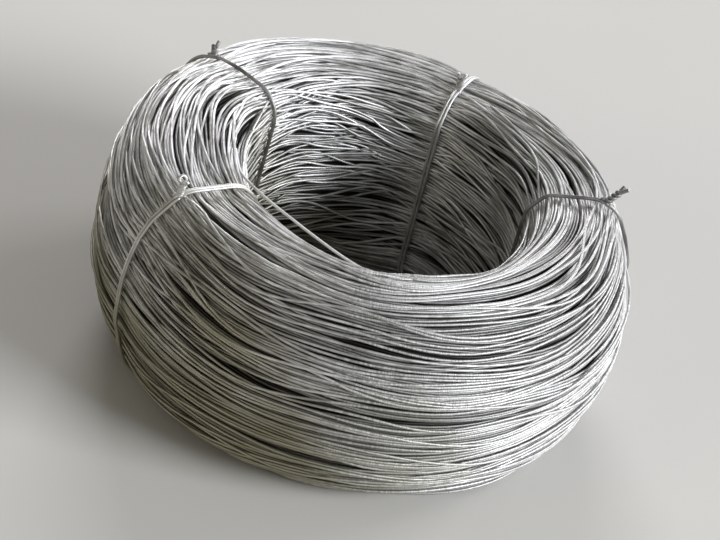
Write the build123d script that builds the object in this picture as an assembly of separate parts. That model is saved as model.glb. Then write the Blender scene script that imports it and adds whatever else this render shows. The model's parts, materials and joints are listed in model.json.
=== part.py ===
# A coil of drawn steel binding wire, standing on one end with its bore upright, and the four wire
# ties that hold its turns together. Each tie runs once round the section of the coil, lies in the groove
# that it has pulled into the turns, and ends in a twisted pair of cut ends on or near the upper end.
# The coil's axis is Z and the floor is at Z = 0. All sizes are in millimetres.
import os
from dataclasses import dataclass
from math import asin, degrees, radians, sin, sqrt

from build123d import *

# The wound coil
outer_diameter = 312.0  # across the barrel's curve, just outside its flats
bore_diameter = 162.0
coil_height = 132.0
barrel_radius = 100.0  # the barrel's curve from end to end, seen in the section
outer_shoulder_share = 0.36  # radius of the roll from barrel to end, as a share of the wound wall's thickness
bore_shoulder_share = 0.24  # radius of the roll from bore to end, as a share of the same thickness

# The bands that the turns lie in, and the gaps that show between them
wall_band_count = 1
inner_bend_band_count = 3
end_band_count = 2
outer_bend_band_count = 3
barrel_band_count = 3
gap_width = 3.4
gap_depth = 2.6

# The ties
tie_diameter = 2.2
tie_sides = 6
tie_clearance = 0.25  # between a tie and the turns beside and under it
tie_sink = 0.15  # how far a tie lies below the surface of the turns

# The twisted ends of each tie
twist_length = 10.0
twist_turns = 1.0
twist_steps = 6
tie_overlap = 2.4  # of each end with the loop that it leaves
tail_length = 4.5
tail_spread = 24.0  # degrees that each cut end leans out of the twist

# Worked out from the sizes above
bore_rim = wall_band_count + inner_bend_band_count  # the corner of the section where the upper end begins
outer_rim = bore_rim + end_band_count  # the corner where the upper end rolls over into the barrel
crown = outer_diameter / 2
bore_wall = bore_diameter / 2
wound_wall = crown - bore_wall
outer_shoulder = outer_shoulder_share * wound_wall
bore_shoulder = bore_shoulder_share * wound_wall
middle = coil_height / 2
barrel_centre = crown - barrel_radius
shoulder_reach = barrel_radius - outer_shoulder  # from the barrel's centre to an outer shoulder's centre
shoulder_rise = middle - outer_shoulder
shoulder_centre = barrel_centre + sqrt(shoulder_reach**2 - shoulder_rise**2)
barrel_half_angle = degrees(asin(shoulder_rise / shoulder_reach))
tie_radius = tie_diameter / 2
tie_depth = tie_sink + tie_radius  # of a tie's centre line below the surface
strand_offset = 1.2 * tie_radius  # of each end from the axis that they are twisted round
slot_width = tie_diameter + 2 * tie_clearance
slot_depth = tie_sink + tie_diameter + tie_clearance


@dataclass
class Tie:
    """Where a tie runs, and where and how steeply its twisted ends stand."""

    bearing: float  # degrees round the coil from +X
    foot: int  # the corner of the section that the twist stands on
    rise: float  # degrees by which the twist stands up from the turns


ties = {
    "tie_rear_right": Tie(74.0, bore_rim + 1, 50.0),
    "tie_rear_left": Tie(152.0, outer_rim + 1, 78.0),
    "tie_left": Tie(216.0, outer_rim + 2, 34.0),
    "tie_right": Tie(13.0, outer_rim + 1, 128.0),
}


@dataclass
class Stretch:
    """A smooth stretch of the section's outline, and the bands of turns that lie along it."""

    edge: Edge
    bands: int
    gap_before: bool = True  # a gap shows where the stretch begins
    gaps_between: bool = True  # gaps show between its bands

    def corners(self):
        """The points where its bands begin."""
        return [self.edge @ (band / self.bands) for band in range(self.bands)]

    def gaps(self):
        """Whether a gap shows at each of those points."""
        return [self.gap_before] + [self.gaps_between] * (self.bands - 1)


def section_stretches(grow=0.0):
    """The stretches of the section's outline, moved outwards by grow.

    They run up the bore wall, out over the top end, down the barrel and back under the bottom end.
    """
    wall, top, bottom = bore_wall - grow, coil_height + grow, -grow
    inner, outer = bore_shoulder + grow, outer_shoulder + grow
    bore_centre = bore_wall + bore_shoulder
    sweep_out = 90 - barrel_half_angle
    sweep_down = 2 * barrel_half_angle
    barrel = CenterArc((barrel_centre, middle), barrel_radius + grow, barrel_half_angle, -sweep_down)
    return [
        Stretch(
            Line((wall, bore_shoulder), (wall, coil_height - bore_shoulder)),
            wall_band_count,
            gap_before=False,
        ),
        Stretch(
            CenterArc((bore_centre, coil_height - bore_shoulder), inner, 180, -90),
            inner_bend_band_count,
            gap_before=False,
            gaps_between=False,
        ),
        Stretch(Line((bore_centre, top), (shoulder_centre, top)), end_band_count),
        Stretch(
            CenterArc((shoulder_centre, coil_height - outer_shoulder), outer, 90, -sweep_out),
            outer_bend_band_count,
            gaps_between=False,
        ),
        Stretch(barrel, barrel_band_count),
        Stretch(
            CenterArc((shoulder_centre, outer_shoulder), outer, -barrel_half_angle, -sweep_out),
            outer_bend_band_count,
            gaps_between=False,
        ),
        Stretch(Line((shoulder_centre, bottom), (bore_centre, bottom)), end_band_count),
        Stretch(
            CenterArc((bore_centre, bore_shoulder), inner, -90, -90),
            inner_bend_band_count,
            gaps_between=False,
        ),
    ]


def section_corners(grow=0.0):
    """The corners of the section, moved outwards by grow, where one band of turns meets the next."""
    return [corner for stretch in section_stretches(grow) for corner in stretch.corners()]


def wound_section():
    """The section of the coil: a flat for each band of turns, and a V for each gap between bands."""
    points = section_corners()
    floors = section_corners(-gap_depth)
    gaps = [gap for stretch in section_stretches() for gap in stretch.gaps()]
    outline = []
    for number, point in enumerate(points):
        if not gaps[number]:
            outline.append(point)
            continue
        before = (points[number - 1] - point).normalized()
        after = (points[(number + 1) % len(points)] - point).normalized()
        outline += [point + before * (gap_width / 2), floors[number], point + after * (gap_width / 2)]
    return Plane.XZ * make_face(Polyline(*outline, close=True))


def tie_slot():
    """The groove that a tie pulls into the turns, in the XZ plane."""
    ring = make_face(Polyline(*section_corners(slot_width), close=True))
    ring -= make_face(Polyline(*section_corners(-slot_depth), close=True))
    return extrude(Plane.XZ * ring, slot_width / 2, both=True)


def wound_coil():
    """The turned coil, with its turns showing all over and a groove for each tie."""
    slot = tie_slot()
    return revolve(wound_section(), Axis.Z) - [Rot(0, 0, tie.bearing) * slot for tie in ties.values()]


def tie_loop():
    """The wire that runs once round the section in the XZ plane, pulled straight from bend to bend."""
    bends = section_corners(-tie_depth)
    start = (bends[0] + bends[1]) / 2
    path = Plane.XZ * Polyline(start, *bends[1:], bends[0], close=True)
    wire = Plane(path @ 0, z_dir=path % 0) * RegularPolygon(tie_radius, tie_sides)
    return sweep(wire, path, transition=Transition.RIGHT)


def tie_end(tie, side):
    """One end of a tie, in the XZ plane: out of the loop, round the twist's axis, and off as a cut tail."""
    bends = section_corners(-tie_depth)
    foot = Plane.XZ.from_local_coords(bends[tie.foot])
    back = Plane.XZ.from_local_coords(bends[tie.foot - 1])
    forth = Plane.XZ.from_local_coords(bends[tie.foot + 1])
    along = (back - foot).normalized()
    rise = along.rotate(Axis((0, 0, 0), (0, 1, 0)), tie.rise)
    root = Plane(foot, x_dir=rise.cross(Vector(0, 1, 0)), z_dir=rise)
    neck_length = (tie_depth + strand_offset + tie_radius) / sin(radians(tie.rise))
    turn, climb = 360 * twist_turns / twist_steps, twist_length / twist_steps
    twist = [
        root * Rot(0, 0, turn * step) * Pos(side * strand_offset, 0, neck_length + climb * step)
        for step in range(twist_steps + 1)
    ]
    tail = twist[-1] * Rot(0, side * tail_spread, 0) * Pos(0, 0, tail_length)
    start = foot + ((back if side < 0 else forth) - foot).normalized() * tie_overlap
    path = Polyline(start, *[place.position for place in twist], tail.position)
    wire = Plane(path @ 0, z_dir=path % 0) * RegularPolygon(tie_radius, tie_sides)
    return sweep(wire, path, transition=Transition.RIGHT)


if __name__ == "__main__":
    os.makedirs("parts", exist_ok=True)
    export_step(wound_coil(), "parts/wire_coil.step")
    loop = tie_loop()
    for name, tie in ties.items():
        tied = loop + tie_end(tie, 1) + tie_end(tie, -1)
        export_step(Rot(0, 0, tie.bearing) * tied, f"parts/{name}.step")
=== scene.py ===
"""A coil of bright steel binding wire on a pale studio floor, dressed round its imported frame.

The turns are wound in code: one long wire is planned bundle by bundle round the coil's section, then
relaxed station by station until its turns press against each other, dip under the ties and cross over
where a bundle begins. The ties are pulled tight round the turns that result.
"""

import json
import logging
import math
from collections.abc import Callable
from dataclasses import dataclass, field
from enum import Enum

import bpy
import numpy as np
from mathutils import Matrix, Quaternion, Vector


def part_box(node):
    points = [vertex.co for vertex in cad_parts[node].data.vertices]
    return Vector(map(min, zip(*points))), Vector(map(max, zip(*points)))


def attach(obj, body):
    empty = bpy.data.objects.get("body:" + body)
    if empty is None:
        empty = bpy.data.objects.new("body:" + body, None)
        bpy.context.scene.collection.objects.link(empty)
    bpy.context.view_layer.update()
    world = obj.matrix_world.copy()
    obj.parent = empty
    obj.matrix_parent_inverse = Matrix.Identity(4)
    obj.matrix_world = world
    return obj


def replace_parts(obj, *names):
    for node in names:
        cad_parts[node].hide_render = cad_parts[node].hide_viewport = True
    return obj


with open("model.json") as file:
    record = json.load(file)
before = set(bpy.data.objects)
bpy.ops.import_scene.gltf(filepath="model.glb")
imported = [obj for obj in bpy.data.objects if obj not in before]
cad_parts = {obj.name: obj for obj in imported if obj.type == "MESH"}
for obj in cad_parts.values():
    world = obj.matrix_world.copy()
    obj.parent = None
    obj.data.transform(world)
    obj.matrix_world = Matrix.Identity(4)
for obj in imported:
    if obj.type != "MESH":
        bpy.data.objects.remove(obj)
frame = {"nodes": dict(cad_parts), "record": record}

MM = 0.001
HAIR = 0.05 * MM  # the least gap that is kept between two surfaces
TINY = 1e-9  # metres, which keeps a division off zero
FULL_TURN = 2 * math.pi
UPWARDS = (0.0, 0.0, 1.0)
LOG = logging.getLogger("coil")
Pair = tuple[float, float]
Triple = tuple[float, float, float]
Colour = tuple[float, float, float, float]
Socket = bpy.types.NodeSocket
Walk = Callable[[np.ndarray], tuple[np.ndarray, np.ndarray]]


def eased(share: np.ndarray) -> np.ndarray:
    """A smooth step from 0 to 1 as share goes from 0 to 1."""
    held = np.clip(share, 0.0, 1.0)
    return held * held * (3 - 2 * held)


def off_bearing(bearing: np.ndarray, middle: float) -> np.ndarray:
    """How far round each bearing lies from a middle one, up to half a turn either way."""
    return (bearing - middle + math.pi) % FULL_TURN - math.pi


def in_space(ring: np.ndarray, bearing: np.ndarray) -> np.ndarray:
    """Points of the section, given as radius and height, at their bearings round the axis."""
    return np.stack([ring[..., 0] * np.cos(bearing), ring[..., 0] * np.sin(bearing), ring[..., 1]], -1)


def bearing_of(node: str) -> float:
    """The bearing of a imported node's middle, in radians."""
    low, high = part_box(node)
    return math.atan2(low.y + high.y, low.x + high.x)


def linked(name: str, data: bpy.types.ID) -> bpy.types.Object:
    """Makes an object and links it into the scene.

    Args:
        name: The object's name.
        data: The mesh, lamp or camera that it holds.

    Returns:
        The object.
    """
    made = bpy.data.objects.new(name, data)
    bpy.context.scene.collection.objects.link(made)
    return made


@dataclass(frozen=True)
class CoilSection:
    """The coil's outline in the plane through its axis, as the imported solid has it."""

    bore_radius: float
    crown_radius: float
    height: float
    inner_bend: float = 18 * MM
    outer_bend: float = 27 * MM
    barrel_bend: float = 100 * MM

    @property
    def middle(self) -> Pair:
        """The radius and height at the middle of the section."""
        return (self.bore_radius + self.crown_radius) / 2, self.height / 2

    @property
    def barrel_centre(self) -> float:
        """The radius that the barrel's curve is drawn from."""
        return self.crown_radius - self.barrel_bend

    @property
    def outer_bend_radius(self) -> float:
        """The radius that the outer bends are drawn from."""
        reach = self.barrel_bend - self.outer_bend
        return self.barrel_centre + math.sqrt(reach**2 - (self.height / 2 - self.outer_bend) ** 2)

    @property
    def barrel_half_angle(self) -> float:
        """Half of the angle that the barrel's curve spans, in radians."""
        return math.asin((self.height / 2 - self.outer_bend) / (self.barrel_bend - self.outer_bend))

    def outline(self, samples: int) -> tuple[np.ndarray, np.ndarray, float]:
        """Walks once round the section, up the bore wall first.

        Args:
            samples: How many evenly spaced points to give.

        Returns:
            The points, the outward normals and the outline's length.
        """
        inner, outer, half = self.inner_bend, self.outer_bend, self.barrel_half_angle
        inner_radius, outer_radius = self.bore_radius + inner, self.outer_bend_radius
        top, quarter = self.height, math.pi / 2
        stretches = [
            self._straight((self.bore_radius, inner), (self.bore_radius, top - inner), (-1.0, 0.0)),
            self._bend((inner_radius, top - inner), inner, math.pi, quarter),
            self._straight((inner_radius, top), (outer_radius, top), (0.0, 1.0)),
            self._bend((outer_radius, top - outer), outer, quarter, half),
            self._bend((self.barrel_centre, top / 2), self.barrel_bend, half, -half),
            self._bend((outer_radius, outer), outer, -half, -quarter),
            self._straight((outer_radius, 0.0), (inner_radius, 0.0), (0.0, -1.0)),
            self._bend((inner_radius, inner), inner, -quarter, -math.pi),
        ]
        ends = np.cumsum([0.0] + [stretch[0] for stretch in stretches])
        along = np.arange(samples) / samples * ends[-1]
        points, normals = np.zeros((samples, 2)), np.zeros((samples, 2))
        for number, (length, walk) in enumerate(stretches):
            here = (along >= ends[number]) & (along < ends[number + 1])
            points[here], normals[here] = walk((along[here] - ends[number]) / length)
        return points, normals, float(ends[-1])

    @staticmethod
    def _straight(start: Pair, end: Pair, normal: Pair) -> tuple[float, Walk]:
        """Measures a straight stretch of the outline.

        Args:
            start: Where it starts, as radius and height.
            end: Where it ends.
            normal: The way that it faces.

        Returns:
            Its length, and a function that walks it.
        """
        first, last = np.array(start), np.array(end)

        def walk(share: np.ndarray) -> tuple[np.ndarray, np.ndarray]:
            """Points and normals at those shares of the stretch."""
            return first + (last - first) * share[:, None], np.tile(normal, (len(share), 1))

        return float(np.linalg.norm(last - first)), walk

    @staticmethod
    def _bend(centre: Pair, radius: float, start: float, end: float) -> tuple[float, Walk]:
        """Measures a round stretch of the outline.

        Args:
            centre: Its centre, as radius and height.
            radius: Its radius.
            start: The angle that it starts at, in radians.
            end: The angle that it ends at.

        Returns:
            Its length, and a function that walks it.
        """

        def walk(share: np.ndarray) -> tuple[np.ndarray, np.ndarray]:
            """Points and normals at those shares of the stretch."""
            normal = np.stack([turned(start + (end - start) * share) for turned in (np.cos, np.sin)], 1)
            return np.array(centre) + normal * radius, normal

        return abs(end - start) * radius, walk

    def depth(self, radius: np.ndarray, height: np.ndarray) -> tuple[np.ndarray, np.ndarray, np.ndarray]:
        """How far below the outline each point lies.

        Args:
            radius: Each point's distance from the axis.
            height: Each point's height.

        Returns:
            The depth, and the two parts of the outward normal there.
        """
        from_barrel = radius - self.barrel_centre
        rise = height - self.height / 2
        reach = np.maximum(np.hypot(from_barrel, rise), TINY)
        faces = np.stack([radius - self.bore_radius, self.height - height, height, self.barrel_bend - reach])
        nearest = np.argmin(faces, 0)
        deep = np.take_along_axis(faces, nearest[None], 0)[0]
        zero = np.zeros_like(radius)
        out = np.choose(nearest, [zero - 1, zero, zero, from_barrel / reach])
        up = np.choose(nearest, [zero, zero + 1, zero - 1, rise / reach])
        side = np.where(rise > 0, 1.0, -1.0)
        bends = (
            (self.inner_bend, self.bore_radius + self.inner_bend, True),
            (self.outer_bend, self.outer_bend_radius, False),
        )
        for bend, centre, inward in bends:
            over = np.abs(rise) - (self.height / 2 - bend)
            across = radius - centre
            away = np.maximum(np.hypot(across, over), TINY)
            if inward:
                here = (across < 0) & (over > 0)
            else:
                angle = np.arctan2(over, across)
                here = (across > 0) & (angle > self.barrel_half_angle) & (angle < math.pi / 2)
            deep = np.where(here, bend - away, deep)
            out = np.where(here, across / away, out)
            up = np.where(here, over / away * side, up)
        return deep, out, up


@dataclass(frozen=True)
class Slump:
    """How the coil departs from a turned solid: the bore off centre, and one side heaped up and fuller."""

    bore_shift: float = 3.2 * MM
    shift_bearing: float = math.radians(-5)
    top_lift: float = 2.0 * MM
    lift_bearing: float = math.radians(150)
    heap_up: float = 7.5 * MM
    heap_out: float = 4.6 * MM
    heap_bearing: float = math.radians(172)
    heap_half_width: float = math.radians(40)
    heap_from: float = 0.44  # of the height, where the heap begins
    heap_loss: float = 0.8  # of its rise, at the bore

    def moved(self, section: CoilSection, ring: np.ndarray, bearing: np.ndarray) -> np.ndarray:
        """Moves points of the true section to where the slumped coil has them.

        Args:
            section: The coil's section.
            ring: Points as radius and height, in the last axis.
            bearing: The bearing of each point, in radians.

        Returns:
            The moved points.
        """
        radius, height = ring[..., 0], ring[..., 1]
        inward = np.clip((section.crown_radius - radius) / (section.crown_radius - section.bore_radius), 0, 1)
        shift = self.bore_shift * np.cos(bearing - self.shift_bearing) * inward
        lift = self.top_lift * np.cos(bearing - self.lift_bearing) * height / section.height
        heap = np.exp(-((off_bearing(bearing, self.heap_bearing) / self.heap_half_width) ** 2))
        heap = heap * eased((height / section.height - self.heap_from) / (1 - self.heap_from))
        lift = lift + self.heap_up * heap * (1 - self.heap_loss * inward)
        shift = shift + self.heap_out * heap * (1 - inward)
        return np.stack([radius + shift, height + lift], -1)


@dataclass(frozen=True)
class TiePinch:
    """How far the ties pull the turns in, and over how much of the coil."""

    bearings: tuple[float, ...]
    depth: float = 2.5 * MM
    half_width: float = math.radians(9)

    def at(self, bearing: np.ndarray) -> np.ndarray:
        """Measures how far the turns are pulled in.

        Args:
            bearing: The bearings to measure at, in radians.

        Returns:
            The distance at each of them.
        """
        pulled = np.zeros_like(bearing)
        for tie in self.bearings:
            pulled = np.maximum(pulled, np.exp(-((off_bearing(bearing, tie) / self.half_width) ** 2)))
        return pulled * self.depth


@dataclass(frozen=True)
class WindingPlan:
    """Where the wire is meant to run: round the section in bundles, layer on layer."""

    section: CoilSection
    wire: float
    layer_turns: tuple[int, ...] = (214, 184, 156)
    layer_rise: float = 1.45 * MM
    stations: int = 96
    outline_points: int = 2048
    spacing: float = 1.03
    bundle_widths: Pair = (5 * MM, 11 * MM)
    edge_shift: float = 0.9 * MM
    packing_length: float = 0.5  # turns, over which a turn passes from one bundle to the next
    # The wander of whole bundles, in millimetres for one, two and more waves round the coil
    shared_wander: tuple[float, ...] = (4.6, 3.6, 2.4, 1.4, 0.9, 0.6, 0.5, 0.4, 0.4, 0.3)
    own_wander: tuple[float, ...] = (1.1, 1.1, 1.1, 1.1, 1.2, 1.2, 1.2, 1.2, 1.2, 1.1)
    wander_kin: int = 9  # bundles side by side that wander alike
    wander_length: float = 0.9
    # The wander of single turns: how many knots it has in a turn, and its size
    turn_wander: tuple[Pair, ...] = (
        (0.4, 0.6 * MM), (1.1, 0.6 * MM), (2.3, 0.55 * MM), (4.1, 0.45 * MM), (8.3, 0.35 * MM)
    )
    bundle_relief: float = 0.5
    bundle_crown: float = 0.9 * MM
    relief_waves: int = 3
    relief_length: float = 0.3
    stray_ride: float = 1.3 * MM
    stray_count: int = 300
    stray_reach: Pair = (4 * MM, 14 * MM)
    stray_length: Pair = (0.09, 0.42)
    stray_slope: float = 95 * MM
    stray_gathering: float = 0.45  # of the strays, near one bearing
    stray_bearing: float = math.radians(150)
    stray_scatter: float = math.radians(28)

    @property
    def turns(self) -> int:
        """How many turns the wire makes."""
        return sum(self.layer_turns)

    @staticmethod
    def _harmonics(draw: np.random.Generator, count: int, sizes: tuple[float, ...], kin: int) -> np.ndarray:
        """Draws a wander for each bundle, alike in bundles that lie side by side.

        Args:
            draw: The source of random numbers.
            count: How many bundles there are.
            sizes: The size of each wave in millimetres.
            kin: How many bundles side by side are alike.

        Returns:
            A complex number for each bundle and wave.
        """
        shape = (count + kin, len(sizes))
        raw = draw.normal(0, 1, shape) + 1j * draw.normal(0, 1, shape)
        weights = np.hanning(kin + 2)[1:-1]
        weights = weights / np.sqrt((weights**2).sum())
        mixed = np.stack([np.convolve(raw[:, m], weights, "same")[:count] for m in range(len(sizes))], 1)
        return mixed * np.array(sizes) * MM / math.sqrt(2)

    def _spread(self, values: np.ndarray, turns: float) -> np.ndarray:
        """Evens out values along the wire.

        Args:
            values: One value for each point of the wire.
            turns: Over how many turns they are evened out.

        Returns:
            The even values.
        """
        weights = np.hanning(int(turns * self.stations) | 1)
        weights = weights / weights.sum()
        pad = len(weights) // 2
        padded = np.concatenate([np.full(pad, values[0]), values, np.full(pad, values[-1])])
        return np.convolve(padded, weights, "valid")

    def _strays(self, draw: np.random.Generator, wire_turn: np.ndarray) -> tuple[np.ndarray, np.ndarray]:
        """Plans the single turns that leave their bundle and cross over it.

        Args:
            draw: The source of random numbers.
            wire_turn: How many turns are wound at each point of the wire.

        Returns:
            How far each point moves sideways, and how much of a stray's full rise it has.
        """
        aside, raised = np.zeros_like(wire_turn), np.zeros_like(wire_turn)
        # They leave the outer layer and the last third of the one below it
        first = self.turns - self.layer_turns[-1] - self.layer_turns[-2] // 3
        for _ in range(self.stray_count):
            if draw.random() < self.stray_gathering:
                bearing = self.stray_bearing + draw.normal(0, self.stray_scatter)
            else:
                bearing = draw.uniform(0, FULL_TURN)
            centre = draw.integers(first, self.turns - 2) + bearing / FULL_TURN
            width = draw.uniform(*self.stray_length)
            hump = eased(1 - np.abs(wire_turn - centre) / width)
            reach = min(draw.uniform(*self.stray_reach), self.stray_slope * width)
            aside += draw.choice([-1, 1]) * reach * hump
            raised = np.maximum(raised, hump)
        return aside, raised

    @staticmethod
    def _between(points: np.ndarray, at: np.ndarray) -> np.ndarray:
        """Values of a closed outline at places between its points.

        Args:
            points: The values at its points.
            at: The places, counted in points from the first.

        Returns:
            The values there.
        """
        low = at.astype(int) % len(points)
        share = (at - np.floor(at))[:, None]
        return points[low] * (1 - share) + points[(low + 1) % len(points)] * share

    def targets(self, draw: np.random.Generator) -> tuple[np.ndarray, np.ndarray, np.ndarray]:
        """Plans the whole wire.

        Args:
            draw: The source of random numbers.

        Returns:
            The wire's points as radius and height, turn by turn and station by station; the least
            depth that each may have; and how far each is raised as part of a stray.
        """
        points, normals, length = self.section.outline(self.outline_points)
        count = self.turns * self.stations
        wire_turn = np.arange(count) / self.stations
        bearing = FULL_TURN * (wire_turn % 1.0)
        widths = draw.uniform(*self.bundle_widths, int(length / np.mean(self.bundle_widths)))
        edges = np.concatenate([[0.0], np.cumsum(widths)]) * length / widths.sum()
        bundles = len(widths)
        shared = self._harmonics(draw, bundles, self.shared_wander, self.wander_kin)
        relief = np.abs(self._harmonics(draw, bundles, (self.bundle_relief,) * self.relief_waves, 1))
        relief_phase = draw.uniform(0, FULL_TURN, (bundles, self.relief_waves))
        place, packed, layer, off_centre = (np.zeros(count) for _ in range(4))
        bundle = np.zeros(count, int)
        wander = np.zeros((count, len(self.shared_wander)), complex)
        # Each layer goes round the section the other way from the one before
        start = 0
        for number, turns in enumerate(self.layer_turns):
            here = slice(start * self.stations, (start + turns) * self.stations)
            share = (wire_turn[here] - start) / turns
            raw = length * (share if number % 2 == 0 else 1 - share)
            inside = edges.copy()
            inside[1:-1] += draw.normal(0, self.edge_shift, bundles - 1)
            inside.sort()
            which = np.clip(np.searchsorted(inside, raw, side="right") - 1, 0, bundles - 1)
            centre = (inside[:-1] + inside[1:])[which] / 2
            off_centre[here] = (raw - centre) / (np.diff(inside)[which] / 2)
            crowding = min(1.0, self.wire * self.spacing * turns / length)
            own = self._harmonics(draw, bundles, self.own_wander, 1)
            place[here] = raw
            bundle[here] = which
            layer[here] = number
            wander[here] = (shared + own)[which]
            packed[here] = (centre - raw) * (1 - crowding)
            start += turns
        # Sideways: the turns crowd to the middle of their bundle, wander with it and on their own
        offset = self._spread(packed, self.packing_length)
        for m in range(wander.shape[1]):
            parts = (wander[:, m].real, wander[:, m].imag)
            real, turned = (self._spread(part, self.wander_length) for part in parts)
            offset += real * np.cos((m + 1) * bearing) + turned * np.sin((m + 1) * bearing)
        for pace, size in self.turn_wander:
            knots = draw.normal(0, size, int(self.turns * pace) + 4)
            knot = (wire_turn * pace).astype(int)
            share = eased(wire_turn * pace - knot)
            offset += knots[knot] * (1 - share) + knots[knot + 1] * share
        aside, raised = self._strays(draw, wire_turn)
        along = (place + offset + aside) % length
        # Below the outline: each bundle is crowned and rises and sinks, and the strays ride over all
        lift = sum(
            relief[bundle, m] * (1 + np.cos((m + 1) * bearing + relief_phase[bundle, m]))
            for m in range(self.relief_waves)
        )
        lift = self._spread(lift + self.bundle_crown * off_centre**2, self.relief_length)
        at = along / length * len(points)
        spot, normal = self._between(points, at), self._between(normals, at)
        normal /= np.linalg.norm(normal, axis=1)[:, None]
        room = np.where(normal[:, 0] > 0, self.section.crown_radius - spot[:, 0], self.stray_ride)
        room = np.where(normal[:, 1] < 0, np.minimum(room, spot[:, 1]), room)
        ride = np.clip(room, 0, self.stray_ride)
        least = self.wire / 2 + lift * (1 - raised) - ride * raised
        depth = least + (len(self.layer_turns) - 1 - layer) * self.layer_rise
        shape = (self.turns, self.stations)
        wire = spot - normal * depth[:, None]
        return wire.reshape(*shape, 2), least.reshape(shape), raised.reshape(shape)


@dataclass
class Winding:
    """The wire as it lies in the coil, once its turns have settled against each other."""

    section: CoilSection
    pinch: TiePinch
    slump: Slump
    wire: float
    seed: int = 7
    rounds: int = 170
    neighbours: int = 9
    floor_depth: float = 7.6 * MM
    pull: float = 0.045 * MM
    stiffness: float = 0.2
    hold: float = 0.045
    stray_hold: float = 0.16
    push_share: float = 0.45  # of an overlap, that each of two turns gives way in a round
    longest_push: float = 0.35  # of the wire, in a round
    closest: float = 0.0001 * MM
    late_from: float = 0.75  # of the rounds, after which the wire only comes to rest
    late_stiffness: float = 0.4
    late_pull: float = 0.3
    partings: tuple[int, int] = (2, 3)  # in an early and in a late round
    plan: WindingPlan = field(init=False)
    ring: np.ndarray = field(init=False)
    sunk: np.ndarray = field(init=False)

    def __post_init__(self) -> None:
        """Plans the wire."""
        self.plan = WindingPlan(self.section, self.wire)

    @property
    def bearings(self) -> np.ndarray:
        """The bearing of each station, in radians."""
        return FULL_TURN * np.arange(self.plan.stations) / self.plan.stations

    def _straighten(self, points: np.ndarray, strength: float) -> np.ndarray:
        """Applies the wire's own stiffness, which evens out its kinks from station to station.

        Args:
            points: The wire's points, turn by turn and station by station.
            strength: How much of a kink goes at each of two passes.

        Returns:
            The straighter points.
        """
        wire = points.reshape(-1, 2)
        for _ in range(2):
            even = wire.copy()
            even[1:-1] = (wire[:-2] + wire[2:]) / 2
            wire = wire + (even - wire) * strength
        return wire.reshape(points.shape)

    def _part(self, points: np.ndarray) -> np.ndarray:
        """Pushes apart the turns that overlap at each station.

        Args:
            points: The wire's points, turn by turn and station by station.

        Returns:
            The points, moved.
        """
        middle = self.section.middle
        order = np.argsort(np.arctan2(points[..., 1] - middle[1], points[..., 0] - middle[0]), axis=0)
        radius = np.take_along_axis(points[..., 0], order, 0)
        height = np.take_along_axis(points[..., 1], order, 0)
        out, up = np.zeros_like(radius), np.zeros_like(radius)
        for step in range(1, self.neighbours + 1):
            across, rise = np.roll(radius, -step, 0) - radius, np.roll(height, -step, 0) - height
            gap = np.hypot(across, rise)
            push = np.maximum(self.wire - gap, 0) * self.push_share / np.maximum(gap, self.closest)
            across *= push
            rise *= push
            out += np.roll(across, step, 0) - across
            up += np.roll(rise, step, 0) - rise
        limit = np.maximum(np.hypot(out, up) / (self.longest_push * self.wire), 1)
        back = np.argsort(order, 0)
        moved = [np.take_along_axis(line, back, 0) for line in (radius + out / limit, height + up / limit)]
        return np.stack(moved, -1)

    def settle(self) -> None:
        """Relaxes the planned wire, and keeps the result in ring and sunk."""
        draw = np.random.default_rng(self.seed)
        planned, least, raised = self.plan.targets(draw)
        hold = (self.hold + (self.stray_hold - self.hold) * raised)[..., None]
        pinched = self.pinch.at(self.bearings)[None, :]
        least, most = least + pinched, self.floor_depth + pinched
        points = planned.copy()
        rounds = self.rounds
        for number in range(rounds):
            late = number > rounds * self.late_from
            points = self._straighten(points, self.stiffness * (self.late_stiffness if late else 1.0))
            _, out, up = self.section.depth(points[..., 0], points[..., 1])
            points -= np.stack([out, up], -1) * self.pull * (self.late_pull if late else 1.0)
            points += (planned - points) * hold * (self.late_pull if late else 1.0)
            for _ in range(self.partings[late]):
                points = self._part(points)
                deep, out, up = self.section.depth(points[..., 0], points[..., 1])
                push = np.maximum(least - deep, 0) - np.maximum(deep - most, 0)
                points -= np.stack([out * push, up * push], -1)
        deep, _, _ = self.section.depth(points[..., 0], points[..., 1])
        self.sunk = np.clip((deep - least + self.wire / 2) / self.floor_depth, 0, 1)
        self.ring = self.slump.moved(self.section, points, self.bearings[None, :])
        self.ring[..., 0] = np.minimum(self.ring[..., 0], self.section.crown_radius - self.wire / 2)
        self.ring[..., 1] = np.maximum(self.ring[..., 1], self.wire / 2)

    def line(self) -> np.ndarray:
        """The whole wire's centre line."""
        return in_space(self.ring.reshape(-1, 2), np.tile(self.bearings, self.plan.turns))

    def turns_at(self, bearing: float) -> np.ndarray:
        """Cuts through the coil.

        Args:
            bearing: The bearing of the cut, in radians.

        Returns:
            The radius and height of every turn where it passes that bearing.
        """
        at = bearing / FULL_TURN % 1.0 * self.plan.stations
        low = int(at) % self.plan.stations
        share = at - math.floor(at)
        return self.ring[:, low] * (1 - share) + self.ring[:, (low + 1) % self.plan.stations] * share


@dataclass(frozen=True)
class Grain:
    """A noise over a piece: its scale per metre, how fine it goes and how strong its fine parts are."""

    scale: float
    detail: float = 2.0
    roughness: float = 0.5


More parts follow.
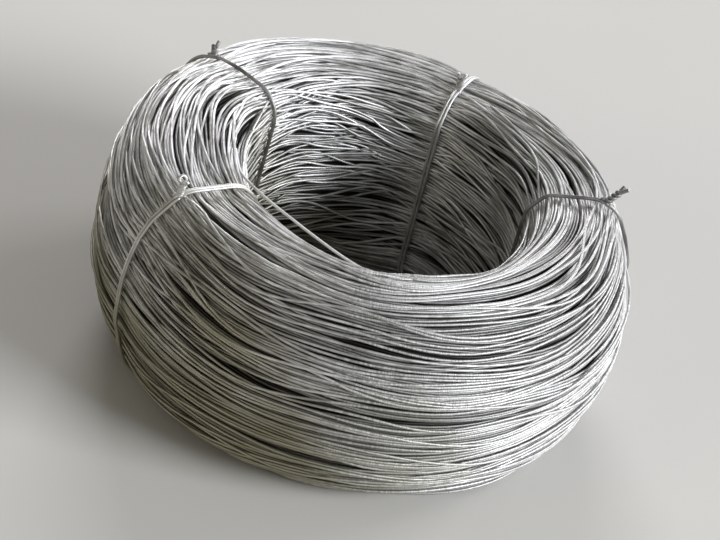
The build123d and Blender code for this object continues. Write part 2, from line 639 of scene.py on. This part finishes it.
class FinishNodes:
    """The nodes of one new material, and the ways in which they are added and joined."""

    def __init__(self, name: str) -> None:
        """Makes the material, with its shader and each point's place on the piece.

        Args:
            name: The material's name.
        """
        self.made = bpy.data.materials.new(name)
        self.made.use_nodes = True
        self.shader = self.made.node_tree.nodes["Principled BSDF"].inputs
        self.place = self.add("ShaderNodeTexCoord").outputs["Object"]

    def add(self, kind: str) -> bpy.types.Node:
        """A new node of that kind."""
        return self.made.node_tree.nodes.new(kind)

    def give(self, socket: Socket, value: object) -> None:
        """Fills an input.

        Args:
            socket: The input.
            value: A number, a colour or the output of another node.
        """
        if isinstance(value, Socket):
            self.made.node_tree.links.new(value, socket)
        else:
            socket.default_value = value

    def attribute(self, name: str) -> Socket:
        """Reads one attribute of the mesh.

        Args:
            name: The attribute's name.

        Returns:
            Its values.
        """
        node = self.add("ShaderNodeAttribute")
        node.attribute_name = name
        return node.outputs["Fac"]

    def noise(self, grain: Grain, strand: object = None) -> Socket:
        """Adds a noise.

        Args:
            grain: What the noise is like.
            strand: A value that picks one noise out of many, so that each strand can have its own.

        Returns:
            The noise.
        """
        node = self.add("ShaderNodeTexNoise")
        given = {"Scale": grain.scale, "Detail": grain.detail, "Roughness": grain.roughness}
        given["Vector"] = self.place
        if strand is not None:
            node.noise_dimensions = "4D"
            given["W"] = strand
        for name, value in given.items():
            self.give(node.inputs[name], value)
        return node.outputs["Fac"]

    def ranged(self, value: Socket, span: Pair, onto: Pair = (0.0, 1.0)) -> Socket:
        """Spreads a value over a range, and holds it inside.

        Args:
            value: The value.
            span: What it goes from and to.
            onto: What the result goes from and to.

        Returns:
            The result.
        """
        node = self.add("ShaderNodeMapRange")
        self.give(node.inputs["Value"], value)
        for name, number in zip(("From Min", "From Max", "To Min", "To Max"), (*span, *onto)):
            self.give(node.inputs[name], number)
        return node.outputs["Result"]

    def leaning(self, value: Socket, way: Triple) -> Socket:
        """Makes a value grow in one direction.

        Args:
            value: The value.
            way: What it gains per metre in X, Y and Z.

        Returns:
            The value with its gain.
        """
        gain, total = self.add("ShaderNodeVectorMath"), self.add("ShaderNodeMath")
        gain.operation, total.operation = "DOT_PRODUCT", "ADD"
        self.give(gain.inputs[0], self.place)
        self.give(gain.inputs[1], way)
        self.give(total.inputs[0], value)
        self.give(total.inputs[1], gain.outputs["Value"])
        return total.outputs["Value"]

    def blend(self, share: Socket, first: object, second: object) -> Socket:
        """Mixes two colours.

        Args:
            share: The share of the second one.
            first: A colour, or the output of another node.
            second: The other colour.

        Returns:
            The mixed colour.
        """
        node = self.add("ShaderNodeMix")
        node.data_type = "RGBA"
        for socket, value in ((0, share), (6, first), (7, second)):
            self.give(node.inputs[socket], value)
        return node.outputs[2]


@dataclass(frozen=True)
class SteelFinish:
    """Drawn steel wire with a thin coat of zinc that has dulled unevenly, with painted light towards the top
    left, painted shade with a warm painted reflection towards the left, front and bottom, and painted shade
    on the deeper turns.
    """

    name: str
    # painted light: a paler colour that the wire passes into towards the top left, as if lit more there
    painted_top_light: Colour = (0.95, 0.95, 0.96, 1.0)
    bright: Colour = (0.86, 0.865, 0.87, 1.0)
    dull: Colour = (0.46, 0.46, 0.45, 1.0)
    # painted shade with a warm painted reflection, for the left, front and bottom of the coil
    painted_side_shade: Colour = (0.27, 0.25, 0.15, 1.0)
    # painted shade: the colour that deeper turns pass into, as if the gaps between them lay in shadow
    painted_deep_shade: Colour = (0.035, 0.033, 0.03, 1.0)
    metallic: float = 0.85
    roughness: Pair = (0.44, 0.62)
    zinc: Grain = Grain(55, 3.0, 0.6)
    streak: Grain = Grain(130)
    cloud: Grain = Grain(9, 2.0, 0.55)
    worn_span: Pair = (0.38, 0.64)
    painted_top_light_way: Triple = (-1.4, 0.3, 1.6)
    painted_top_light_span: Pair = (0.72, 0.9)
    painted_side_shade_way: Triple = (-2.0, -1.2, -2.8)
    painted_side_shade_span: Pair = (0.34, 0.64)
    painted_side_shade_share: float = 0.78
    painted_deep_shade_span: Pair = (0.14, 0.62)
    streak_span: Pair = (0.3, 0.7)
    bump_strength: float = 0.2
    bump_height: float = 0.2 * MM

    def material(self) -> bpy.types.Material:
        """Makes the node material.

        Returns:
            The material, which reads the mesh attributes strand and sunk.
        """
        nodes = FinishNodes(self.name)
        strand, sunk = nodes.attribute("strand"), nodes.attribute("sunk")
        zinc, streak = nodes.noise(self.zinc, strand), nodes.noise(self.streak, strand)
        cloud = nodes.noise(self.cloud, 0.0)
        metal = nodes.blend(nodes.ranged(zinc, self.worn_span), self.dull, self.bright)
        # Painted light: the colour grows paler towards the top left and the top, standing in for more light
        # falling there
        painted_light = nodes.ranged(nodes.leaning(zinc, self.painted_top_light_way), self.painted_top_light_span)
        metal = nodes.blend(painted_light, metal, self.painted_top_light)
        # Painted shade and warm painted reflection: the colour darkens towards the left, front and bottom,
        # broken up by a cloud noise
        side_shade = nodes.leaning(cloud, self.painted_side_shade_way)
        side_shade = nodes.ranged(side_shade, self.painted_side_shade_span, (0.0, self.painted_side_shade_share))
        metal = nodes.blend(side_shade, metal, self.painted_side_shade)
        bump = nodes.add("ShaderNodeBump")
        nodes.give(bump.inputs["Strength"], self.bump_strength)
        nodes.give(bump.inputs["Distance"], self.bump_height)
        nodes.give(bump.inputs["Height"], streak)
        # Painted shade: the deeper a turn lies below the outline, the nearer it comes to near black
        colour = nodes.blend(nodes.ranged(sunk, self.painted_deep_shade_span), metal, self.painted_deep_shade)
        nodes.give(nodes.shader["Base Color"], colour)
        nodes.give(nodes.shader["Metallic"], self.metallic)
        nodes.give(nodes.shader["Roughness"], nodes.ranged(streak, self.streak_span, self.roughness))
        nodes.give(nodes.shader["Normal"], bump.outputs["Normal"])
        return nodes.made


@dataclass(frozen=True)
class PlainFinish:
    """A dull surface with a little mottling, for the floor and for the painted shade of what lies deep in the
    coil.
    """

    name: str
    light: Colour
    dark: Colour
    roughness: float
    mottle: Grain

    def material(self) -> bpy.types.Material:
        """Makes the node material.

        Returns:
            The material.
        """
        nodes = FinishNodes(self.name)
        nodes.give(nodes.shader["Base Color"], nodes.blend(nodes.noise(self.mottle), self.dark, self.light))
        nodes.give(nodes.shader["Roughness"], self.roughness)
        return nodes.made


@dataclass(frozen=True)
class Strand:
    """Makes round wire along a line of points."""

    radius: float
    sides: int

    def _rings(self, line: np.ndarray, reference: np.ndarray) -> np.ndarray:
        """Draws the wire's rings round a line.

        Args:
            line: The points of the line.
            reference: A direction at each of them, which keeps the rings from twisting.

        Returns:
            The points of each ring.
        """
        ahead = np.gradient(line, axis=0)
        ahead /= np.linalg.norm(ahead, axis=1)[:, None]
        across = reference - (reference * ahead).sum(1)[:, None] * ahead
        across /= np.linalg.norm(across, axis=1)[:, None]
        over = np.cross(ahead, across)
        angle = (FULL_TURN * np.arange(self.sides) / self.sides)[None, :, None]
        ring = np.cos(angle) * across[:, None] + np.sin(angle) * over[:, None]
        return line[:, None, :] + self.radius * ring

    @staticmethod
    def carried(line: np.ndarray) -> np.ndarray:
        """Finds a direction across a line, carried along it without twisting.

        Args:
            line: The points of the line.

        Returns:
            The direction at each of them.
        """
        ahead = np.gradient(line, axis=0)
        ahead /= np.linalg.norm(ahead, axis=1)[:, None]
        across = np.eye(3)[np.argmin(np.abs(ahead[0]))]
        kept = np.zeros_like(line)
        for number, way in enumerate(ahead):
            across = across - (across @ way) * way
            across = across / np.linalg.norm(across)
            kept[number] = across
        return kept

    def mesh(
        self, name: str, lines: list[np.ndarray], references: list[np.ndarray], **attributes: np.ndarray
    ) -> bpy.types.Object:
        """Makes one object of one or more strands with flat cut ends.

        Args:
            name: The object's name.
            lines: The centre line of each strand.
            references: For each strand, a direction for each of its points that isn't along the wire.
            attributes: Values for each point of all the lines together.

        Returns:
            The object, linked into the scene.
        """
        corners, faces, base = [], [], 0
        side = np.arange(self.sides)
        beside = (side + 1) % self.sides
        for line, reference in zip(lines, references):
            corners.append(self._rings(line, reference).reshape(-1, 3))
            last = (len(line) - 1) * self.sides
            ring = np.arange(0, last, self.sides)[:, None]
            following = ring + self.sides
            quads = np.stack([ring + side, ring + beside, following + beside, following + side], -1)
            faces.append((quads.reshape(-1) + base, 4))
            faces.append((side[::-1] + base, self.sides))
            faces.append((side + base + last, self.sides))
            base += last + self.sides
        loops = np.concatenate([indices for indices, _ in faces])
        sizes = np.concatenate([np.full(len(indices) // size, size) for indices, size in faces])
        mesh = bpy.data.meshes.new(name)
        mesh.vertices.add(base)
        mesh.vertices.foreach_set("co", np.concatenate(corners).astype(np.float32).ravel())
        mesh.loops.add(len(loops))
        mesh.loops.foreach_set("vertex_index", loops.astype(np.int32))
        mesh.polygons.add(len(sizes))
        mesh.polygons.foreach_set("loop_start", np.concatenate([[0], np.cumsum(sizes)[:-1]]).astype(np.int32))
        mesh.polygons.foreach_set("use_smooth", sizes == 4)
        for label, values in attributes.items():
            kept = mesh.attributes.new(label, "FLOAT", "POINT")
            kept.data.foreach_set("value", np.repeat(values, self.sides).astype(np.float32))
        mesh.update()
        mesh.validate()
        return linked(name, mesh)


@dataclass
class WoundTurns:
    """The coil's wire, in pieces of about a hundred turns, and what lies deeper than the turns."""

    winding: Winding
    finish: SteelFinish
    deep_shade_finish: PlainFinish
    sides: int = 6
    seed: int = 21
    strand_span: float = 40.0  # what the turns' own noises are picked from
    core_around: int = 96
    core_across: int = 120

    def build(self) -> list[bpy.types.Object]:
        """Makes the turns.

        Returns:
            The pieces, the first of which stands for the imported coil.
        """
        line = self.winding.line()
        stations = self.winding.plan.stations
        draw = np.random.default_rng(self.seed)
        own = draw.uniform(0, self.strand_span, self.winding.plan.turns + 1)
        turn = np.arange(len(line)) / stations
        low = turn.astype(int)
        # A turn's own look passes into that of the next one over its last quarter
        share = eased((turn - low) * 4 - 3)
        strand = own[low] * (1 - share) + own[low + 1] * share
        sunk = self.winding.sunk.ravel()
        material = self.finish.material()
        maker = Strand(self.winding.wire / 2, self.sides)
        made, start = [], 0
        for layer, turns in enumerate(self.winding.plan.layer_turns, 1):
            for part, count in (("a", turns // 2), ("b", turns - turns // 2)):
                stop = min(start + count * stations + 1, len(line))
                here = slice(start, stop)
                piece = maker.mesh(
                    f"turns_layer_{layer}{part}",
                    [line[here]],
                    [np.tile(UPWARDS, (stop - start, 1))],
                    strand=strand[here],
                    sunk=sunk[here],
                )
                piece.data.materials.append(material)
                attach(piece, "root")
                made.append(piece)
                start += count * stations
        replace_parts(made[0], "wire_coil")
        return made

    def build_core(self) -> bpy.types.Object:
        """Makes the body of deeper turns that the gaps look down on, coloured near black as painted shade.

        Returns:
            The core.
        """
        around, across = self.core_around, self.core_across
        section, bearing = self.winding.section, FULL_TURN * np.arange(around) / around
        points, normals, _ = section.outline(across)
        depth = self.winding.floor_depth + self.winding.pinch.at(bearing)
        ring = points[:, None] - normals[:, None] * depth[None, :, None]
        where = in_space(self.winding.slump.moved(section, ring, bearing[None, :]), bearing)
        row, column = np.meshgrid(np.arange(across), np.arange(around), indexing="ij")
        below, beside = (row + 1) % across, (column + 1) % around
        corners = ((row, column), (below, column), (below, beside), (row, beside))
        faces = np.stack([down * around + side for down, side in corners], -1)
        mesh = bpy.data.meshes.new("deeper_turns")
        mesh.from_pydata(where.reshape(-1, 3).tolist(), [], faces.reshape(-1, 4).tolist())
        mesh.materials.append(self.deep_shade_finish.material())
        core = linked("deeper_turns", mesh)
        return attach(core, "root")


class TieStyle(Enum):
    """How a tie was put on."""

    SINGLE = "one wire"
    DOUBLED = "two wires side by side"


@dataclass
class WireTie:
    """A short wire pulled tight round the section, with its two ends twisted together."""

    node: str
    style: TieStyle
    winding: Winding
    finish: SteelFinish
    seed: int
    diameter: float = 2.2 * MM
    doubled_diameter: float = 1.7 * MM
    sides: int = 8
    steps: int = 220
    pulls: int = 720  # directions in which the loop is pulled tight
    sway: float = 0.5 * MM
    touch: float = 1.03  # radii, from the middle of two wires that touch
    bunch: float = 1.42  # radii, from the middle of four
    parting: float = 0.25  # radii, by which the two wires of a loop part here and there
    parting_waves: float = 9
    pair_angle: float = 0.45  # radians, at which each of two wires beside each other starts to turn
    strand_step: float = 3.0  # between the noises of one wire and the next
    end_points: int = 60
    twist_turns: float = 1.75
    twist_from: float = 0.1  # of the height of the twisted ends, as all shares here
    neck_share: float = 0.2
    twist_share: float = 0.68
    cut_share: Pair = (0.86, 0.98)
    shoulder: float = 2.4 * MM
    tail_spread: float = 2.3 * MM
    tail_flare: Pair = (0.7, 1.1)
    tail_curve: float = 1.4
    tip_lean: float = 0.8 * MM
    eye_width: float = 2.1 * MM
    eye_curve: float = 0.7
    clear_of_loop: float = 1.5  # diameters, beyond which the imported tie's corners are its twist's
    foot_share: float = 0.85  # of those corners from the tip down, beyond which they are its foot
    tip_share: float = 0.1  # of them, up to which they are its tip
    bearing: float = field(init=False)

    def __post_init__(self) -> None:
        """Reads the tie's bearing from the frame."""
        self.bearing = bearing_of(self.node)

    @property
    def radius(self) -> float:
        """The radius of one wire of the tie."""
        return (self.doubled_diameter if self.style is TieStyle.DOUBLED else self.diameter) / 2

    @property
    def outwards(self) -> np.ndarray:
        """The direction from the coil's axis to the tie."""
        return np.array([math.cos(self.bearing), math.sin(self.bearing), 0.0])

    @property
    def sideways(self) -> np.ndarray:
        """The direction across the tie's own plane."""
        return np.array([-math.sin(self.bearing), math.cos(self.bearing), 0.0])

    def _round_turns(self) -> np.ndarray:
        """Pulls the loop tight.

        Returns:
            The shortest line round the turns that clears them, as radius and height.
        """
        turns = self.winding.turns_at(self.bearing)
        stand_off = self.winding.wire / 2 + self.radius + HAIR
        angle = math.pi + FULL_TURN * np.arange(self.pulls) / self.pulls
        facing = np.stack([np.cos(angle), -np.sin(angle)], 1)
        line = turns[np.argmax(facing @ turns.T, 1)] + facing * stand_off
        steps = np.linalg.norm(np.diff(line, axis=0, append=line[:1]), axis=1)
        along = np.concatenate([[0.0], np.cumsum(steps)])
        at = along[-1] * np.arange(self.steps) / self.steps
        looped = np.concatenate([line, line[:1]])
        even = np.stack([np.interp(at, along, looped[:, axis]) for axis in (0, 1)], 1)
        for _ in range(2):
            even = even / 2 + (np.roll(even, 1, 0) + np.roll(even, -1, 0)) / 4
        return even

    def _raised(self, ring: np.ndarray, aside: np.ndarray) -> np.ndarray:
        """Points of the tie's own plane, as radius and height, moved aside from it by those distances."""
        flat = ring[:, :1] * self.outwards + aside[:, None] * self.sideways
        return flat + ring[:, 1:] * np.array(UPWARDS)

    def _twist(self) -> tuple[np.ndarray, np.ndarray]:
        """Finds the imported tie's twist.

        Returns:
            Where it leaves its loop, and its tip, in the tie's own plane.
        """
        mesh = frame["nodes"][self.node].data
        corners = np.array([corner.co for corner in mesh.vertices])
        ring = np.stack([corners @ self.outwards, corners[:, 2]], 1)
        deep, _, _ = self.winding.section.depth(ring[:, 0], ring[:, 1])
        standing = deep < -self.clear_of_loop * self.diameter
        loose = ring[standing]
        far = np.linalg.norm(loose - loose[np.argmin(deep[standing])], axis=1)
        foot = loose[far > np.quantile(far, self.foot_share)].mean(0)
        return foot, loose[far < np.quantile(far, self.tip_share)].mean(0)

    def build(self) -> bpy.types.Object:
        """Makes the tie.

        Returns:
            The piece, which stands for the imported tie.
        """
        draw = np.random.default_rng(self.seed)
        ring = self._round_turns()
        share = np.arange(self.steps) / self.steps
        drift = sum(
            draw.normal(0, self.sway) * np.sin(FULL_TURN * (waves * share + draw.random()))
            for waves in (1, 2, 3)
        )
        foot, tip = self._twist()
        nearest = int(np.argmin(np.linalg.norm(ring - foot, axis=1)))
        order = (np.arange(self.steps + 1) + nearest) % self.steps
        ring, drift = ring[order], drift[order]
        drift = drift - drift[0]
        lines = []
        for side in (-1, 1) if self.style is TieStyle.DOUBLED else (0,):
            apart = self.touch + self.parting * np.sin(self.parting_waves * share[order] + side) ** 2
            lines.append(self._raised(ring, drift + side * self.radius * apart))
        references = [np.tile(self.sideways, (len(one), 1)) for one in lines]
        ends = self._ends(ring[0], tip, draw)
        lines += ends
        references += [Strand.carried(end) for end in ends]
        strand = self.strand_step * np.repeat(np.arange(len(lines)), [len(one) for one in lines])
        piece = Strand(self.radius, self.sides).mesh(
            f"{self.node}_wire", lines, references, strand=strand, sunk=np.zeros(len(strand))
        )
        piece.data.materials.append(self.finish.material())
        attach(piece, "root")
        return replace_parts(piece, self.node)

    def _ends(self, foot: np.ndarray, tip: np.ndarray, draw: np.random.Generator) -> list[np.ndarray]:
        """Twists the ends, each of which winds round the others and is cut off or turned back as an eye.

        Args:
            foot: Where the twist stands on the loop, in the tie's own plane.
            tip: The twist's tip, in the same plane.
            draw: The source of random numbers.

        Returns:
            The centre lines of the ends.
        """
        if self.style is TieStyle.SINGLE:
            starts, reach = (0.0, math.pi), self.touch
        else:
            half = self.pair_angle
            starts, reach = (half, -half, math.pi - half, math.pi + half), self.bunch
        climb = np.linspace(0, 1, self.end_points)
        wound = np.clip((climb - self.twist_from) / (self.twist_share - self.twist_from), 0, 1)
        neck = self.shoulder * (1 - eased(climb / self.neck_share))
        tail = np.clip((climb - self.twist_share) / (1 - self.twist_share), 0, 1)
        ends = []
        for start in starts:
            around = start + FULL_TURN * self.twist_turns * wound
            flare = self.tail_spread * tail**self.tail_curve * draw.uniform(*self.tail_flare)
            spread = self.radius * reach + neck + flare
            ends.append((climb, spread * np.cos(around), spread * np.sin(around)))
        if self.style is TieStyle.DOUBLED:
            ends = self._with_eye(ends, tail)
        up = tip - foot
        length = float(np.linalg.norm(up)) - self.radius
        up = up / np.linalg.norm(up)
        beside = np.array([up[1], -up[0]])
        lean = draw.uniform(-1, 1) * self.tip_lean
        lines = []
        for number, (height, out, aside) in enumerate(ends):
            kept = height <= (1.0 if number == 0 else draw.uniform(*self.cut_share))
            height, out, aside = height[kept], out[kept], aside[kept] + lean * height[kept] ** 2
            ring = foot + height[:, None] * up * length + out[:, None] * beside
            lines.append(self._raised(ring, aside))
        return lines

    def _with_eye(self, ends: list[tuple[np.ndarray, ...]], tail: np.ndarray) -> list[tuple[np.ndarray, ...]]:
        """Joins the first two ends in an eye at the tip, which is where a doubled tie was folded.

        Args:
            ends: For each end, the height of its points and where they lie across the twist.
            tail: How far each height is along the tail, from 0 to 1.

        Returns:
            The ends, the first of which now goes up, round the eye and down again.
        """
        (climb, *first), (_, *second) = ends[:2]
        first, second = np.stack(first), np.stack(second)
        width = self.eye_width * np.sin(math.pi * tail) ** self.eye_curve
        apart = np.where(tail > 0, np.maximum(width, self.radius * (1 - tail)), self.radius)
        across = (first - second) / np.maximum(np.linalg.norm(first - second, axis=0), TINY)
        up, down = ((first + second) / 2 + side * apart * across for side in (1, -1))
        rising, falling = (climb, *up), (climb, *down)
        eye = tuple(np.concatenate([one, other[::-1][1:]]) for one, other in zip(rising, falling))
        return [eye, *ends[2:]]


@dataclass(frozen=True)
class SlackTurn:
    """A stretch of an inner turn that has come away from the bore wall and crosses the bore's lip."""

    winding: Winding
    finish: SteelFinish
    bearing: float = math.radians(241)
    half_length: float = math.radians(36)
    run_in: float = 1.35  # half lengths, to where its ends are among the other turns
    inset: float = 10.5 * MM
    inset_curve: float = 1.3
    bury: float = 2.4 * MM
    below_top: float = 8.5 * MM
    rise: float = 3.0 * MM
    strand: float = 5.0
    steps: int = 120
    sides: int = 8

    def build(self) -> bpy.types.Object:
        """Makes the slack stretch, whose ends run in among the other turns.

        Returns:
            The piece.
        """
        section = self.winding.section
        share = np.linspace(-self.run_in, self.run_in, self.steps)
        bearing = self.bearing + share * self.half_length
        height = section.height - self.below_top - self.rise * share
        radius = np.full(self.steps, section.bore_radius)
        deep, _, _ = section.depth(radius, height)
        radius = radius - deep + self.bury - self.inset * np.clip(1 - share**2, 0, 1) ** self.inset_curve
        line = in_space(self.winding.slump.moved(section, np.stack([radius, height], 1), bearing), bearing)
        maker = Strand(self.winding.wire / 2, self.sides)
        up, strand = np.tile(UPWARDS, (self.steps, 1)), np.full(self.steps, self.strand)
        piece = maker.mesh("slack_turn", [line], [up], strand=strand, sunk=np.zeros(self.steps))
        piece.data.materials.append(self.finish.material())
        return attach(piece, "root")


@dataclass(frozen=True)
class SoftLamp:
    """An area lamp that faces the coil."""

    name: str
    place: Triple
    size: Pair
    power: float
    colour: Triple

    def build(self, aim: Vector) -> None:
        """Adds the lamp.

        Args:
            aim: The point that it faces.
        """
        light = bpy.data.lights.new(self.name, "AREA")
        light.shape = "RECTANGLE"
        light.size, light.size_y = self.size
        light.energy = self.power
        light.color = self.colour
        lamp = linked(self.name, light)
        lamp.location = self.place
        lamp.rotation_mode = "QUATERNION"
        lamp.rotation_quaternion = (aim - Vector(self.place)).to_track_quat("-Z", "Y")


@dataclass
class Studio:
    """The pale floor, the soft lights and the camera at the photograph's viewing angle."""

    elevation: float = math.radians(35.5)
    roll: float = math.radians(15.0)
    distance: float = 1.80
    lens: float = 158.0
    sensor: float = 36.0
    aim: Triple = (0, 0, 60 * MM)
    floor_size: float = 14.0
    floor: PlainFinish = PlainFinish(
        "pale_floor", (0.66, 0.65, 0.63, 1.0), (0.60, 0.59, 0.575, 1.0), 0.85, Grain(3.0)
    )
    sky_colour: Colour = (0.88, 0.86, 0.77, 1.0)
    sky_strength: float = 0.22
    lamps: tuple[SoftLamp, ...] = (
        SoftLamp("key", (12.0, -3.8, 6.54), (7.2, 3.8), 2040, (0.95, 0.975, 1.0)),
        SoftLamp("side", (5.0, 4.2, 2.2), (2.4, 1.4), 190, (0.97, 0.97, 1.0)),
        SoftLamp("rear", (-1.2, 5.2, 2.6), (2.4, 1.3), 160, (0.98, 0.97, 1.0)),
        SoftLamp("fill", (-2.8, -3.3, 1.9), (2.4, 2.0), 26, (1.0, 0.91, 0.75)),
    )

    def build_floor(self) -> None:
        """Lays the floor under the coil."""
        half = self.floor_size / 2
        corners = [(-half, -half, 0), (half, -half, 0), (half, half, 0), (-half, half, 0)]
        mesh = bpy.data.meshes.new("studio_floor")
        mesh.from_pydata(corners, [], [(0, 1, 2, 3)])
        mesh.materials.append(self.floor.material())
        floor = linked("studio_floor", mesh)

    def build_lights(self) -> None:
        """Sets the world and the lamps: the main one far off to the right, and the weakest at the left."""
        world = bpy.data.worlds.new("studio")
        bpy.context.scene.world = world
        world.use_nodes = True
        sky = world.node_tree.nodes["Background"]
        sky.inputs["Color"].default_value = self.sky_colour
        sky.inputs["Strength"].default_value = self.sky_strength
        for lamp in self.lamps:
            lamp.build(Vector(self.aim))

    def build_camera(self) -> None:
        """Sets the camera at the photograph's angle, with its lean."""
        camera = bpy.data.cameras.new("camera")
        camera.lens, camera.sensor_width = self.lens, self.sensor
        holder = linked("camera", camera)
        back = Vector((0, -math.cos(self.elevation), math.sin(self.elevation)))
        holder.location = Vector(self.aim) + back * self.distance
        holder.rotation_mode = "QUATERNION"
        holder.rotation_quaternion = (-back).to_track_quat("-Z", "Y") @ Quaternion((0, 0, 1), self.roll)
        bpy.context.scene.camera = holder


def section_of_frame() -> CoilSection:
    """Reads the coil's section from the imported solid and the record's bore mount.

    Returns:
        The section.
    """
    low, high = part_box("wire_coil")
    bore = next(mount for mount in frame["record"]["mounts"] if mount["name"] == "bore")
    crown = min(high.x, high.y, -low.x, -low.y) - HAIR
    return CoilSection(bore["dims"]["r_mm"] * MM, crown, high.z)


def main() -> None:
    """Builds the coil, its ties and the studio."""
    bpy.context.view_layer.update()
    styles = {
        "tie_rear_right": TieStyle.DOUBLED,
        "tie_rear_left": TieStyle.SINGLE,
        "tie_left": TieStyle.DOUBLED,
        "tie_right": TieStyle.SINGLE,
    }
    winding = Winding(section_of_frame(), TiePinch(tuple(map(bearing_of, styles))), Slump(), 1.6 * MM)
    winding.settle()
    # Painted shade: the deeper turns are coloured near black, as they lie in shadow
    dark, darker = (0.03, 0.028, 0.026, 1.0), (0.012, 0.011, 0.01, 1.0)
    shade = PlainFinish("deep_shadowed_wire", dark, darker, 0.7, Grain(300.0))
    turns = WoundTurns(winding, SteelFinish("zinc_wire"), shade)
    pieces = [*turns.build(), turns.build_core()]
    iron, grey = (0.16, 0.155, 0.15, 1.0), (0.40, 0.40, 0.40, 1.0)
    mid, pale = (0.50, 0.50, 0.49, 1.0), (0.74, 0.74, 0.74, 1.0)
    finishes = {
        TieStyle.SINGLE: SteelFinish("dull_tie_wire", painted_top_light=grey, bright=grey, dull=iron),
        TieStyle.DOUBLED: SteelFinish("bright_tie_wire", painted_top_light=pale, bright=pale, dull=mid),
    }
    for seed, (node, style) in enumerate(styles.items(), start=3):
        pieces.append(WireTie(node, style, winding, finishes[style], seed).build())
    # Painted light: the slack turn gets a paler, less metallic copy of the wire's finish, as if it caught
    # more light
    silver, soft = (0.92, 0.92, 0.92, 1.0), (0.80, 0.80, 0.80, 1.0)
    painted_light = SteelFinish("lit_slack_wire", bright=silver, dull=soft, metallic=0.5)
    pieces.append(SlackTurn(winding, painted_light).build())
    for piece in pieces:
        LOG.info("%s: %d faces", piece.name, len(piece.data.polygons))
    studio = Studio()
    studio.build_floor()
    studio.build_lights()
    studio.build_camera()
    bpy.context.scene.view_settings.view_transform = "Standard"


if __name__ == "__main__":
    logging.basicConfig(level=logging.INFO, format="%(message)s")
    main()
